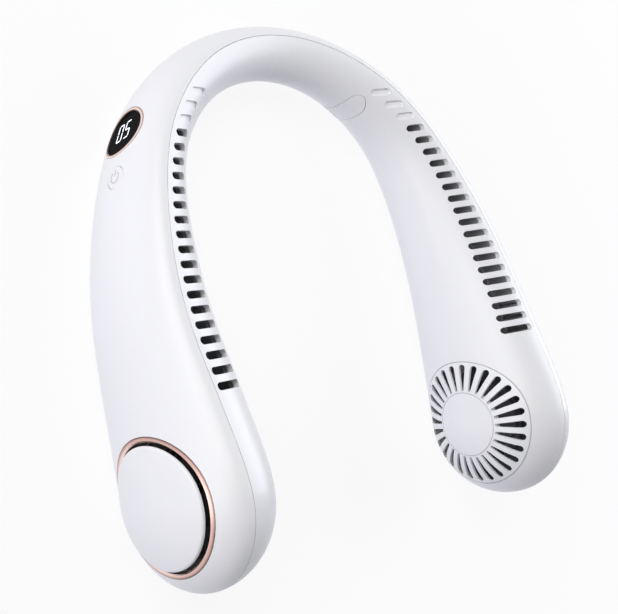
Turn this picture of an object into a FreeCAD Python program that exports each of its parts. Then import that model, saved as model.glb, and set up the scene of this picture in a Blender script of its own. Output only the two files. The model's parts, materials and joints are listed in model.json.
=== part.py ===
"""Electric neck fan: a U-shaped band worn round the neck with a blower pod at each end.

Millimetres, +Z up. The fan lies on its lower edge, the back of the neck is at +Y and the pods are at -Y.
"""
import FreeCAD, Part
import math
import os
from FreeCAD import Vector

os.makedirs("parts", exist_ok=True)

# Parting line seen from above, from the back of the neck to a pod axis
BACK_RADIUS = 77.35
BACK_ANGLE = 65.7
SIDE_RADIUS = 150.0
END_ANGLE = 91.6
PATH_LENGTH = 201.0
POD_RADIUS = 30.35
STATIONS_PER_ARM = 10

# Half-ellipse sections: share of the path, height, depth outside and inside the parting line
SECTIONS = (
    (0.0, 23.0, 5.4, 14.1),
    (0.35, 30.7, 7.3, 14.9),
    (0.70, 45.1, 11.6, 22.8),
    (0.9587, 59.5, 15.4, 24.2),
    (1.0, 2.0 * POD_RADIUS, 15.7, 24.3),
)

# Shells
WALL = 2.0
PARTING_GAP = 0.08
SNUG = 0.15
FREE = 0.3

# Air slots: a straight pattern along Y over the inner edge of each arm
SLOT_FROM_BACK = 22.2
SLOT_PITCH = 4.97
SLOT_WIDTH = 2.6
SLOT_OPEN = 18
SLOT_BLIND = 3
SLOT_NEAR_FIRST = 8.0
SLOT_NEAR_LAST = 3.0
SLOT_SPAN_FIRST = 25.0
SLOT_SPAN_LAST = 34.5
BLIND_DEPTH = 0.8

# Outer intake of a pod, levels measured outward from the parting plane
RECESS_RADIUS = 23.3
COLLAR_RADIUS = 25.2
LEDGE_RADIUS = 21.6
RING_SEAT = 7.0
RING_INNER = 21.4
RING_BEVEL = 0.6
DISC_RADIUS = 20.4
DISC_PROUD = 1.0
DISC_ROUND = 0.9
DISC_PLATE_RADIUS = 19.0
DISC_PLATE_WALL = 1.2
DISC_BOSS_RADIUS = 2.4
DISC_BOSS_CIRCLE = 6.4
DISC_SCREW_RADIUS = 0.8

# Inner grille of a pod
GRILLE_RADIUS = 24.6
GRILLE_WALL = 2.6
GRILLE_BAR_WALL = 0.95
GRILLE_RIM = 0.8
GRILLE_FLANGE = 1.3
GRILLE_SLOTS = 28
GRILLE_SLOT_IN = 13.25
GRILLE_SLOT_OUT = 23.5
GRILLE_SLOT_NARROW = 1.0
GRILLE_SLOT_WIDE = 2.7
CAP_RADIUS = 12.45
CAP_WALL = 1.45

# Blower
FLOOR_TOP = 5.2
FLOOR_WALL = 1.5
SCROLL_WALL = 1.2
SCROLL_OPEN_END = -6.6
SCROLL_START_ANGLE = 165.0
SCROLL_END_ANGLE = 463.0
SCROLL_START_RADIUS = 20.3
SCROLL_END_RADIUS = 23.4
SCROLL_MOUTH = 26.0
SCROLL_MOUTH_TOP = -18.2
SCROLL_MOUTH_LOW = -5.6
INLET_RADIUS = 15.5
WINDOW_INNER = 10.6
WINDOW_OUTER = 18.6
SPOKE_WIDTH = 3.6
IMPELLER_RADIUS = 18.8
IMPELLER_TOP = 2.5
IMPELLER_END = -5.8
BLADE_COUNT = 28
BLADE_ROOT = 13.6
BLADE_WALL = 0.7
BLADE_MID_LEAN = 3.5
BLADE_LEAN = 13.0
CUP_RADIUS = 9.8
CUP_WALL = 1.0
CUP_END = -3.6
MIDPLATE_LOW = -2.0
MIDPLATE_HIGH = -1.0
MAGNET_WALL = 0.9
STATOR_RADIUS = 7.5
STATOR_HALF = 1.6
STATOR_POLES = 6
COIL_HALF = 2.1
SHAFT_RADIUS = 1.0
SHAFT_FIT = 0.02
BEARING_RADIUS = 2.0
TUBE_RADIUS = 3.0
TUBE_END = -1.9

# Air duct behind the slots
DUCT_FROM = 68.0
DUCT_GAP = 0.25
DUCT_WALL = 1.2
DUCT_SIDE = 1.2
DUCT_FLOOR_SHARE = 0.56

# Battery cell in each arm
CELL_RADIUS = 7.1
CELL_LENGTH = 50.0
CELL_STATION = 143.0
CELL_W = -6.0
CELL_Z = 12.5
CRADLE_OFFSET = 15.0
CRADLE_WALL = 1.6

# Display on the left arm
DISPLAY_STATION = 78.8
DISPLAY_Z = 13.85
BEZEL_RADIUS = 10.1
BEZEL_WALL = 1.4
BEZEL_SEAT = 1.6
BEZEL_PROUD = 0.1
BEZEL_BEVEL = 0.4
LENS_RECESS = 1.4
LENS_TILT = 4.8
LENS_LEDGE = 0.6
DISPLAY_COLLAR = 1.4
DISPLAY_WINDOW = 7.4
DISPLAY_BOARD_RADIUS = 8.6

# Power button on the left arm
BUTTON_STATION = 95.87
BUTTON_Z = 18.0
BUTTON_RADIUS = 4.0
BUTTON_TRAVEL = 0.5
BUTTON_DEPTH = 3.5
BUTTON_FLANGE = 1.0
BUTTON_COLLAR_IN = 5.4
BUTTON_COLLAR_OUT = 6.8
BOARD_DEPTH = 5.6
BOARD_WALL = 1.2

# Charging port on the right arm, inner face
PORT_STATION = 49.5
PORT_WIDTH = 8.0
PORT_TOP = 23.6
PORT_HINGE_Z = 7.4
PORT_HINGE_W = -11.75
PORT_COVER_WALL = 1.4
PORT_PAD = 3.2
PORT_PIN_RADIUS = 0.5
PORT_KNUCKLE = 0.95
PORT_SWING_ROOM = 1.0
USB_Z = 14.6
USB_WIDE = 8.9
USB_THICK = 3.2
USB_DEEP = 7.3

# Wiring
WIRE_RADIUS = 1.1
WIRE_W = -0.5

UP = Vector(0, 0, 1)
ORIGIN = Vector(0, 0, 0)


def slope_between(rows, column, k):
    """Mean slope of one column between two rows of the section table."""
    rise = rows[k + 1][column] - rows[k][column]
    return rise / (rows[k + 1][0] - rows[k][0])


def slope_at(rows, column, k):
    """Slope at a row, flat at both ends and without overshoot between rows."""
    if k == 0 or k == len(rows) - 1:
        return 0.0
    before = slope_between(rows, column, k - 1)
    after = slope_between(rows, column, k)
    if before * after <= 0.0:
        return 0.0
    left = rows[k][0] - rows[k - 1][0]
    right = rows[k + 1][0] - rows[k][0]
    weight_before = 2.0 * right + left
    weight_after = right + 2.0 * left
    return (weight_before + weight_after) / (weight_before / before + weight_after / after)


def smooth(column, s):
    """Value of a section column at path length s."""
    share = min(abs(s) / PATH_LENGTH, 1.0)
    k = 0
    while k < len(SECTIONS) - 2 and share > SECTIONS[k + 1][0]:
        k += 1
    span = SECTIONS[k + 1][0] - SECTIONS[k][0]
    t = (share - SECTIONS[k][0]) / span
    start = SECTIONS[k][column]
    end = SECTIONS[k + 1][column]
    start_slope = slope_at(SECTIONS, column, k) * span
    end_slope = slope_at(SECTIONS, column, k + 1) * span
    t2 = t * t
    t3 = t2 * t
    return (
        (2 * t3 - 3 * t2 + 1) * start
        + (t3 - 2 * t2 + t) * start_slope
        + (3 * t2 - 2 * t3) * end
        + (t3 - t2) * end_slope
    )


def height_at(s):
    return smooth(1, s)


def depth_at(s, side):
    """Depth of the band from the parting line: side +1 outward, -1 toward the neck."""
    return smooth(2, s) if side > 0 else smooth(3, s)


def skin_level(s, z, side):
    """Distance of the skin from the parting line at height z."""
    middle = 0.5 * height_at(s)
    rise = (z - middle) / middle
    return depth_at(s, side) * math.sqrt(1.0 - rise * rise)


def plan_raw(s):
    """Right arm of the parting line with the back of the neck at the origin: x, y and heading."""
    turn = math.radians(BACK_ANGLE)
    last = math.radians(END_ANGLE)
    back_length = BACK_RADIUS * turn
    side_length = SIDE_RADIUS * (last - turn)
    heading = s / BACK_RADIUS
    if s <= back_length:
        return BACK_RADIUS * math.sin(heading), BACK_RADIUS * (math.cos(heading) - 1.0), heading
    centre_x = (BACK_RADIUS - SIDE_RADIUS) * math.sin(turn)
    centre_y = (BACK_RADIUS - SIDE_RADIUS) * math.cos(turn) - BACK_RADIUS
    heading = min(turn + (s - back_length) / SIDE_RADIUS, last)
    x = centre_x + SIDE_RADIUS * math.sin(heading)
    y = centre_y + SIDE_RADIUS * math.cos(heading)
    straight = max(s - back_length - side_length, 0.0)
    return x + straight * math.cos(heading), y - straight * math.sin(heading), heading


# The overall box is centred on the origin along Y
POD_FROM_BACK = plan_raw(PATH_LENGTH)[1]
BACK_Y = 0.5 * (POD_RADIUS - POD_FROM_BACK - SECTIONS[0][2])


def plan(s):
    """Parting line point and heading; negative s runs along the left arm."""
    x, y, heading = plan_raw(abs(s))
    if s < 0:
        return -x, y + BACK_Y, -heading
    return x, y + BACK_Y, heading


def outward_at(s):
    heading = plan(s)[2]
    return Vector(math.sin(heading), math.cos(heading), 0)


def point_at(s, w, z):
    """Point at path length s, distance w outward of the parting line and height z."""
    x, y, heading = plan(s)
    return Vector(x + math.sin(heading) * w, y + math.cos(heading) * w, z)


def arm_frame(s, z):
    """Local frame on the right arm: x toward the pod, y down, z outward."""
    outward = outward_at(s)
    along = outward.cross(UP)
    base = point_at(s, 0, z)
    return FreeCAD.Placement(
        FreeCAD.Matrix(
            along.x, 0, outward.x, base.x,
            along.y, 0, outward.y, base.y,
            0, -1, 0, base.z,
            0, 0, 0, 1,
        )
    )


POD_FRAME = arm_frame(PATH_LENGTH, POD_RADIUS)


def placed(shape, frame):
    moved = shape.copy()
    moved.Placement = frame.multiply(moved.Placement)
    return moved


def pod(shape):
    return placed(shape, POD_FRAME)


def mirrored(shape):
    """The left-hand twin of a right-hand shape."""
    return shape.mirror(ORIGIN, Vector(1, 0, 0))


def cylinder(radius, low, high, x=0.0, y=0.0):
    return Part.makeCylinder(radius, high - low, Vector(x, y, low), UP)


def tube(outer, inner, low, high):
    return cylinder(outer, low, high).cut(cylinder(inner, low - 1.0, high + 1.0))


def block(x0, x1, y0, y1, z0, z1):
    return Part.makeBox(x1 - x0, y1 - y0, z1 - z0, Vector(x0, y0, z0))


def turned(profile):
    """Full turn about z of a closed profile of (radius, level) points."""
    points = [Vector(r, 0, z) for r, z in profile]
    face = Part.Face(Part.makePolygon(points + points[:1]))
    return face.revolve(ORIGIN, UP, 360)


def polar(shape, count, axis=UP):
    copies = []
    for k in range(count):
        copy = shape.copy()
        copy.rotate(ORIGIN, axis, 360.0 * k / count)
        copies.append(copy)
    return copies


def stadium(length, width, low, high):
    """Bar along x with round ends, centred on the origin."""
    r = 0.5 * width
    h = 0.5 * length - r
    corners = (Vector(-h, -r, low), Vector(h, -r, low), Vector(h, r, low), Vector(-h, r, low))
    right = Part.Arc(corners[1], Vector(h + r, 0, low), corners[2])
    left = Part.Arc(corners[3], Vector(-h - r, 0, low), corners[0])
    edges = [
        Part.makeLine(corners[0], corners[1]),
        right.toShape(),
        Part.makeLine(corners[2], corners[3]),
        left.toShape(),
    ]
    return Part.Face(Part.Wire(edges)).extrude(Vector(0, 0, high - low))


def conic(points):
    """Exact elliptical arc: quarter arcs on a corner polygon."""
    quarters = len(points) // 2
    weights = [1.0 if k % 2 == 0 else math.sqrt(0.5) for k in range(len(points))]
    knots = list(range(quarters + 1))
    counts = [3] + [2] * (quarters - 1) + [3]
    curve = Part.BSplineCurve()
    curve.buildFromPolesMultsKnots(points, counts, knots, False, 2, weights)
    return curve.toShape()


def half_corners(s, side, inset):
    """Corner polygon of the half-ellipse skin, moved inward by the inset, from crest to lower edge."""
    height = height_at(s)
    depth = side * (depth_at(s, side) - inset)
    flat = side * PARTING_GAP
    corners = (
        (flat, height - inset),
        (depth, height - inset),
        (depth, 0.5 * height),
        (depth, inset),
        (flat, inset),
    )
    return [point_at(s, w, z) for w, z in corners]


def arm_stations():
    return [PATH_LENGTH * k / STATIONS_PER_ARM for k in range(STATIONS_PER_ARM + 1)]


def rates(corners, s):
    """How fast each corner of a section moves along the path."""
    step = 0.01
    return [(after - before) * (0.5 / step) for before, after in zip(corners(s - step), corners(s + step))]


def swept_face(corners, degree, weights):
    """Smooth face of the right arm through the corner polygons of its sections, cubic along the path."""
    places = arm_stations()
    rows = [corners(s) for s in places]
    start_rates = rates(corners, places[0])
    end_rates = rates(corners, places[-1])
    columns = []
    for k in range(len(rows[0])):
        curve = Part.BSplineCurve()
        curve.interpolate(
            Points=[row[k] for row in rows],
            Parameters=places,
            InitialTangent=start_rates[k],
            FinalTangent=end_rates[k],
            Scale=False,
        )
        columns.append(curve)
    guide = columns[0]
    spans = (len(rows[0]) - 1) // degree
    section_knots = list(range(spans + 1))
    section_counts = [degree + 1] + [degree] * (spans - 1) + [degree + 1]
    poles = [curve.getPoles() for curve in columns]
    surface = Part.BSplineSurface()
    surface.buildFromPolesMultsKnots(
        poles,
        section_counts,
        guide.getMultiplicities(),
        section_knots,
        guide.getKnots(),
        False,
        False,
        degree,
        3,
        [[weight] * len(poles[0]) for weight in weights],
    )
    return surface.toShape()


ROUND = (1.0, math.sqrt(0.5), 1.0, math.sqrt(0.5), 1.0)
STRAIGHT = (1.0, 1.0)


def closed_band(right_faces, end_edges, tip_edges):
    """Solid of both arms closed by its end sections, with the round pod tips added.

    A pod tip is the end section turned half a turn about the pod axis.
    """
    end_face = Part.Face(Part.Wire(end_edges))
    sewn = Part.makeCompound(both(right_faces + [end_face]))
    sewn.sewShape()
    solid = Part.Solid(sewn.Shells[0])
    if solid.Volume < 0:
        solid.reverse()
    tip_face = Part.Face(Part.Wire(tip_edges))
    tip = tip_face.revolve(point_at(PATH_LENGTH, 0, POD_RADIUS), outward_at(PATH_LENGTH), 180)
    return solid.fuse([tip, mirrored(tip)])


def both(shapes):
    return shapes + [mirrored(shape) for shape in shapes]


def half_shell(side):
    """Open half of the casing, one wall thick."""

    def skin(s):
        return half_corners(s, side, 0.0)

    def lining(s):
        return half_corners(s, side, WALL)

    def top(s):
        return [skin(s)[0], lining(s)[0]]

    def bottom(s):
        return [skin(s)[-1], lining(s)[-1]]

    faces = [swept_face(skin, 2, ROUND), swept_face(lining, 2, ROUND)]
    faces += [swept_face(top, 1, STRAIGHT), swept_face(bottom, 1, STRAIGHT)]
    outer = skin(PATH_LENGTH)
    inner = lining(PATH_LENGTH)
    end_edges = [
        conic(outer),
        Part.makeLine(outer[-1], inner[-1]),
        conic(inner),
        Part.makeLine(inner[0], outer[0]),
    ]
    tip_edges = [
        conic(outer[:3]),
        Part.makeLine(outer[2], inner[2]),
        conic(inner[:3]),
        Part.makeLine(inner[0], outer[0]),
    ]
    return closed_band(faces, end_edges, tip_edges)


def half_core(side, inset):
    """Solid half of the band inside the inset skin."""

    def skin(s):
        return half_corners(s, side, inset)

    def flat(s):
        return [skin(s)[0], skin(s)[-1]]

    faces = [swept_face(skin, 2, ROUND), swept_face(flat, 1, STRAIGHT)]
    outer = skin(PATH_LENGTH)
    end_edges = [conic(outer), Part.makeLine(outer[-1], outer[0])]
    centre = point_at(PATH_LENGTH, side * PARTING_GAP, POD_RADIUS)
    tip_edges = [conic(outer[:3]), Part.makeLine(outer[2], centre), Part.makeLine(centre, outer[0])]
    return closed_band(faces, end_edges, tip_edges)


def inner_skin(s, angle):
    """Point on the neck-side skin, angle in degrees from the crest."""
    turn = math.radians(angle)
    w = -depth_at(s, -1) * math.sin(turn)
    z = 0.5 * height_at(s) * (1.0 + math.cos(turn))
    return point_at(s, w, z)


def skin_at_y(y, angle):
    """Point of the neck-side skin of the right arm with the given y."""
    low = 10.0
    high = PATH_LENGTH
    for _ in range(40):
        middle = 0.5 * (low + high)
        if inner_skin(middle, angle).y > y:
            low = middle
        else:
            high = middle
    return inner_skin(low, angle)


def slot_cutters(first, last, grow, below):
    """Upright bars with round ends, one for each slot of the right arm."""
    cutters = []
    for k in range(first, last):
        share = (k - SLOT_BLIND) / (SLOT_OPEN - 1.0)
        y = BACK_Y - SLOT_FROM_BACK - SLOT_PITCH * k
        near_angle = SLOT_NEAR_FIRST + (SLOT_NEAR_LAST - SLOT_NEAR_FIRST) * share
        span = SLOT_SPAN_FIRST + (SLOT_SPAN_LAST - SLOT_SPAN_FIRST) * share
        near = skin_at_y(y, near_angle)
        far = skin_at_y(y, near_angle + span)
        bar = stadium(near.x - far.x + 2 * grow, SLOT_WIDTH + 2 * grow, far.z - below, near.z + 4.0)
        bar.translate(Vector(0.5 * (near.x + far.x), y, 0))
        cutters.append(bar)
    return cutters


def upper_rim(shape, s, z, radius):
    """Outermost edges of the given radius about the axis that leaves the band at s and z."""
    centre = point_at(s, 0, z)
    outward = outward_at(s)
    rims = []
    for edge in [edge for edge in shape.Edges if edge.Length > 1.0]:
        reach = [point - centre for point in edge.discretize(24)]
        levels = [offset.dot(outward) for offset in reach]
        radii = [(offset - outward * level).Length for offset, level in zip(reach, levels)]
        if max(abs(r - radius) for r in radii) < 0.01:
            rims.append((min(levels), edge))
    top = max(level for level, edge in rims)
    return [edge for level, edge in rims if level > top - 0.5]


def save(name, shape):
    shape.exportStep("parts/" + name + ".step")


def save_pair(name, shape):
    save("right_" + name, shape)
    save("left_" + name, mirrored(shape))


# Solids used to trim details flush with the skin
outer_core = half_core(1, 0.0)
outer_deep = half_core(1, 1.2)
inner_core = half_core(-1, 0.0)
inner_deep = half_core(-1, 1.2)


# Battery cells and their cradles
cell_frame = arm_frame(CELL_STATION, CELL_Z)


def cell_bar(radius, length):
    bar = Part.makeCylinder(radius, length, Vector(-0.5 * length, 0, CELL_W), Vector(1, 0, 0))
    return placed(bar, cell_frame)


def cradle_box(offset, w0, w1):
    low = CELL_Z - 4.6
    high = -CELL_RADIUS - 0.6
    plate = block(offset - 0.5 * CRADLE_WALL, offset + 0.5 * CRADLE_WALL, high, low, w0, w1)
    return placed(plate, cell_frame)


cell_room = cell_bar(CELL_RADIUS + 0.1, CELL_LENGTH + 20.0)
outer_cradles = []
inner_cradles = []
for offset in (-CRADLE_OFFSET, CRADLE_OFFSET):
    reach = cradle_box(offset, CELL_W, 3.0).fuse(cradle_box(offset, 1.0, 20.0).common(outer_deep))
    outer_cradles.append(reach.cut(cell_room))
    inner_cradles.append(cradle_box(offset, -30.0, CELL_W - 0.4).common(inner_deep).cut(cell_room))
cell = cell_bar(CELL_RADIUS, CELL_LENGTH)
cell = cell.makeFillet(0.6, [edge for edge in cell.Edges if edge.Closed])
tip = Part.makeCylinder(2.4, 0.9, Vector(0.5 * CELL_LENGTH, 0, CELL_W), Vector(1, 0, 0))
cell = cell.fuse(placed(tip, cell_frame))
save_pair("battery", cell)


# Display on the left arm, drawn on the right and mirrored
display_frame = arm_frame(DISPLAY_STATION, DISPLAY_Z)
display_low = skin_level(DISPLAY_STATION, DISPLAY_Z - BEZEL_RADIUS, 1)
pocket_floor = display_low - BEZEL_SEAT
collar_end = pocket_floor - BOARD_WALL
pocket_radius = BEZEL_RADIUS + 0.05
display_collar = cylinder(pocket_radius + DISPLAY_COLLAR, collar_end, 30.0)
display_collar = placed(display_collar, display_frame).common(outer_core)
display_pocket = placed(cylinder(pocket_radius, pocket_floor, 30.0), display_frame)
display_hole = placed(cylinder(DISPLAY_WINDOW, -5.0, 30.0), display_frame)
bezel_bore = BEZEL_RADIUS - BEZEL_WALL
lens_radius = bezel_bore - 0.05
lens_seat = pocket_floor + LENS_LEDGE
bezel_room = half_core(1, -BEZEL_PROUD)
bezel_ledge = tube(BEZEL_RADIUS, DISPLAY_WINDOW, pocket_floor, lens_seat)
bezel = placed(tube(BEZEL_RADIUS, bezel_bore, pocket_floor, 30.0), display_frame).common(bezel_room)
bezel = bezel.fuse(placed(bezel_ledge, display_frame))
bezel = bezel.makeChamfer(BEZEL_BEVEL, upper_rim(bezel, DISPLAY_STATION, DISPLAY_Z, bezel_bore))
lens_level = skin_level(DISPLAY_STATION, DISPLAY_Z, 1) - LENS_RECESS
lens_top = block(-20.0, 20.0, -20.0, 20.0, lens_level, lens_level + 20.0)
lens_top.rotate(Vector(0, 0, lens_level), Vector(1, 0, 0), -LENS_TILT)
lens = placed(cylinder(lens_radius, lens_seat, lens_level + 5.0).cut(lens_top), display_frame)
display_board = cylinder(DISPLAY_BOARD_RADIUS, collar_end - BOARD_WALL, collar_end)
module = block(-5.5, 5.5, -3.5, 3.5, collar_end, lens_seat - FREE)
save("display_bezel", mirrored(bezel))
save("display_lens", mirrored(lens))
save("display_board", mirrored(placed(display_board, display_frame)))
save("display_module", mirrored(placed(module, display_frame)))


# Power button with its switch and board
button_frame = arm_frame(BUTTON_STATION, BUTTON_Z)
button_face = depth_at(BUTTON_STATION, 1)
board_top = button_face - BOARD_DEPTH
button_collar = tube(BUTTON_COLLAR_OUT, BUTTON_COLLAR_IN, board_top, 30.0)
button_collar = placed(button_collar, button_frame).common(outer_deep)
button_hole = placed(cylinder(BUTTON_RADIUS + SNUG, board_top, 30.0), button_frame)
button_back = button_face - BUTTON_DEPTH
button = turned((
    (0, button_back),
    (BUTTON_RADIUS + BUTTON_FLANGE, button_back),
    (BUTTON_RADIUS + BUTTON_FLANGE, button_back + 0.8),
    (BUTTON_RADIUS, button_back + 0.8),
    (BUTTON_RADIUS, button_face - 0.2),
    (BUTTON_RADIUS - 0.3, button_face + 0.05),
    (0, button_face + 0.15),
))
switch = block(-2.3, 2.3, -2.3, 2.3, board_top, board_top + 1.2)
switch = switch.fuse(cylinder(1.1, board_top + 1.0, button_back - BUTTON_TRAVEL - 0.1))
control_board = block(-4.5, 11.0, -7.5, 7.5, board_top - BOARD_WALL, board_top)
save("power_button", mirrored(placed(button, button_frame)))
save("tact_switch", mirrored(placed(switch, button_frame)))
save("control_board", mirrored(placed(control_board, button_frame)))


# Charging port on the right arm
port_frame = arm_frame(PORT_STATION, 0.0)


def port_bar(grow, low, w0, w1):
    """Bar with a round upper end over the port, seen from the neck side."""
    r = 0.5 * PORT_WIDTH + grow
    top = PORT_TOP + grow - r
    plate = block(-r, r, -top, -low, w0, w1)
    return placed(plate.fuse(cylinder(r, w0, w1, 0.0, -top)), port_frame)


def port_rod(radius, half_length):
    rod = Part.makeCylinder(
        radius, 2 * half_length, Vector(-half_length, -PORT_HINGE_Z, PORT_HINGE_W), Vector(1, 0, 0)
    )
    return placed(rod, port_frame)


cover_back = half_core(-1, PORT_COVER_WALL)
pocket_back = half_core(-1, PORT_COVER_WALL + 0.15)
pad_back = half_core(-1, PORT_PAD)
half_width = 0.5 * PORT_WIDTH
cover_bar = port_bar(0.0, PORT_HINGE_Z, -40.0, -5.0)
cover = cover_bar.common(inner_core).cut(cover_back)
cover = cover.fuse(port_rod(PORT_KNUCKLE, half_width)).cut(port_rod(PORT_PIN_RADIUS + 0.04, 20.0))
pin = port_rod(PORT_PIN_RADIUS, half_width + 1.6)
pocket_bar = port_bar(0.25, PORT_HINGE_Z - PORT_KNUCKLE - PORT_SWING_ROOM, -40.0, -5.0)
port_pocket = pocket_bar.cut(pocket_back)
port_groove = port_rod(PORT_KNUCKLE + 0.3, half_width + 0.25)
pad_bar = port_bar(2.5, PORT_HINGE_Z - 3.4, -40.0, -7.5)
port_pad = pad_bar.common(inner_deep).cut(pad_back)
usb_frame = arm_frame(PORT_STATION, USB_Z)
port_middle = 0.5 * height_at(PORT_STATION)
usb_reach = (USB_Z + 0.5 * USB_WIDE - port_middle) / (port_middle - PORT_COVER_WALL)
usb_room = (depth_at(PORT_STATION, -1) - PORT_COVER_WALL) * math.sqrt(1.0 - usb_reach * usb_reach)
usb_mouth = FREE - usb_room


def usb_bar(long, wide, low, high):
    bar = stadium(long, wide, low, high)
    bar.rotate(ORIGIN, UP, 90)
    return placed(bar, usb_frame)


usb_hole = usb_bar(USB_WIDE + 0.4, USB_THICK + 0.4, -20.0, -6.0)
usb = usb_bar(USB_WIDE, USB_THICK, usb_mouth, usb_mouth + USB_DEEP)
usb = usb.cut(usb_bar(USB_WIDE - 0.6, USB_THICK - 0.6, usb_mouth - 1.0, usb_mouth + USB_DEEP - 0.8))
tongue = placed(block(-0.35, 0.35, -3.3, 3.3, usb_mouth + 0.8, usb_mouth + USB_DEEP), usb_frame)
usb = usb.fuse(tongue)
board_fit = half_core(1, WALL + 0.2).fuse(half_core(-1, WALL + 0.2))
board_fit = board_fit.fuse(placed(block(-20, 20, -24.0, -3.0, -1.0, 1.0), port_frame))
board_x = 0.5 * USB_THICK
charge_plate = placed(block(board_x, board_x + BOARD_WALL, -22.5, -5.5, -7.3, 8.0), port_frame)
charge_board = charge_plate.common(board_fit)
save("port_cover", cover)
save("port_hinge_pin", pin)
save("usb_socket", usb)
save("charge_board", charge_board)


# Outer shell: casing half with the intake collars, cradles, display and button seats
intake_rim = placed(tube(COLLAR_RADIUS, LEDGE_RADIUS, FLOOR_TOP, 30.0), POD_FRAME).common(outer_core)
ring_room = pod(cylinder(RECESS_RADIUS, RING_SEAT, 40.0))
intake_hole = pod(cylinder(LEDGE_RADIUS, 1.0, 40.0))
outer_shell = half_shell(1)
collars = [mirrored(display_collar), mirrored(button_collar)]
outer_shell = outer_shell.fuse(both([intake_rim] + outer_cradles) + collars)
outer_shell = outer_shell.cut(
    both([ring_room, intake_hole]) + [mirrored(display_pocket), mirrored(display_hole), mirrored(button_hole)]
)
save("outer_shell", outer_shell)


# Inner shell: casing half with the air slots, blind recesses, grille openings and port
grille_hole = pod(cylinder(GRILLE_RADIUS + SNUG, -45.0, -5.0))
blind_floor = half_core(-1, BLIND_DEPTH)
blind_bars = [bar.cut(blind_floor) for bar in slot_cutters(0, SLOT_BLIND, 0.0, 5.0)]
open_bars = slot_cutters(SLOT_BLIND, SLOT_BLIND + SLOT_OPEN, 0.0, 5.0)
inner_shell = half_shell(-1)
inner_shell = inner_shell.fuse(both(inner_cradles) + [port_pad])
inner_shell = inner_shell.cut(both([grille_hole] + blind_bars + open_bars))
inner_shell = inner_shell.cut([port_pocket, port_groove, usb_hole, pin])
save("inner_shell", inner_shell)


# Intake ring and disc cover
ring_radius = RECESS_RADIUS - SNUG
ring = pod(tube(ring_radius, RING_INNER, RING_SEAT, 40.0)).common(outer_core)
ring = ring.makeChamfer(RING_BEVEL, upper_rim(ring, PATH_LENGTH, POD_RADIUS, RING_INNER))
save_pair("trim_ring", ring)

disc_top = half_core(1, -DISC_PROUD)
disc = pod(cylinder(DISC_RADIUS, 1.0, 40.0)).common(disc_top).cut(outer_core)
disc = disc.makeFillet(DISC_ROUND, upper_rim(disc, PATH_LENGTH, POD_RADIUS, DISC_RADIUS))
plate_top = half_core(1, -0.5 * DISC_PROUD)
plate_under = half_core(1, DISC_PLATE_WALL)
plate = pod(cylinder(DISC_PLATE_RADIUS, 1.0, 40.0)).common(plate_top).cut(plate_under)
boss_top = depth_at(PATH_LENGTH, 1) - 0.5 * DISC_PLATE_WALL
boss = cylinder(DISC_BOSS_RADIUS, FLOOR_TOP, boss_top, DISC_BOSS_CIRCLE)
screw_hole = cylinder(DISC_SCREW_RADIUS, FLOOR_TOP - 3.0, FLOOR_TOP + 4.6, DISC_BOSS_CIRCLE)
disc = disc.fuse([plate] + [pod(shape) for shape in polar(boss, 3)])
disc = disc.cut([pod(shape) for shape in polar(screw_hole, 3)])
save_pair("disc_cover", disc)

floor_under = FLOOR_TOP - FLOOR_WALL
screw = cylinder(DISC_SCREW_RADIUS, floor_under, FLOOR_TOP + 4.5, DISC_BOSS_CIRCLE)
screw = screw.fuse(cylinder(1.5, floor_under - 0.9, floor_under, DISC_BOSS_CIRCLE))
drive = block(-1.0, 1.0, -0.15, 0.15, floor_under - 1.0, floor_under - 0.5)
drive.translate(Vector(DISC_BOSS_CIRCLE, 0, 0))
screw = screw.cut(drive)
save_pair("disc_screws", pod(Part.makeCompound(polar(screw, 3))))


# Grille with radial slots that widen outward, and its centre cap
grille_back = half_core(-1, GRILLE_WALL)
flange_front = half_core(-1, WALL + 0.1)
flange_back = half_core(-1, WALL + 0.1 + 1.1)
cap_seat = half_core(-1, CAP_WALL + 0.05)
cap_back = half_core(-1, CAP_WALL)
grille_plug = pod(cylinder(GRILLE_RADIUS, -45.0, -4.0))
grille = grille_plug.common(inner_core).cut(grille_back)
rim_inner = GRILLE_RADIUS - GRILLE_RIM
flange_ring = pod(tube(GRILLE_RADIUS + GRILLE_FLANGE, rim_inner, -45.0, -4.0))
flange = flange_ring.common(flange_front).cut(flange_back)
cap_plug = pod(cylinder(CAP_RADIUS, -45.0, -4.0))
cap_room = pod(cylinder(CAP_RADIUS + 0.12, -45.0, -4.0)).cut(cap_seat)
cap = cap_plug.common(inner_core).cut(cap_back)
narrow = 0.5 * GRILLE_SLOT_NARROW
wide = 0.5 * GRILLE_SLOT_WIDE
slot_end = GRILLE_SLOT_OUT - wide
slot_points = (
    Vector(GRILLE_SLOT_IN, -narrow, -45.0),
    Vector(slot_end, -wide, -45.0),
    Vector(slot_end, wide, -45.0),
    Vector(GRILLE_SLOT_IN, narrow, -45.0),
)
slot_arc = Part.Arc(slot_points[1], Vector(GRILLE_SLOT_OUT, 0, -45.0), slot_points[2])
slot_edges = [
    Part.makeLine(slot_points[0], slot_points[1]),
    slot_arc.toShape(),
    Part.makeLine(slot_points[2], slot_points[3]),
    Part.makeLine(slot_points[3], slot_points[0]),
]
grille_slot = Part.Face(Part.Wire(slot_edges)).extrude(Vector(0, 0, 41.0))
grille_slot.rotate(ORIGIN, UP, 180.0 / GRILLE_SLOTS)
grille_slots = [pod(slot) for slot in polar(grille_slot, GRILLE_SLOTS)]
bar_ring = pod(tube(rim_inner, CAP_RADIUS + 1.0, -45.0, -4.0))
bar_room = bar_ring.common(half_core(-1, GRILLE_BAR_WALL))
grille = grille.cut(bar_room).fuse(flange).cut([cap_room] + grille_slots)
save_pair("grille", grille)
save_pair("grille_cap", cap)


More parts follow.
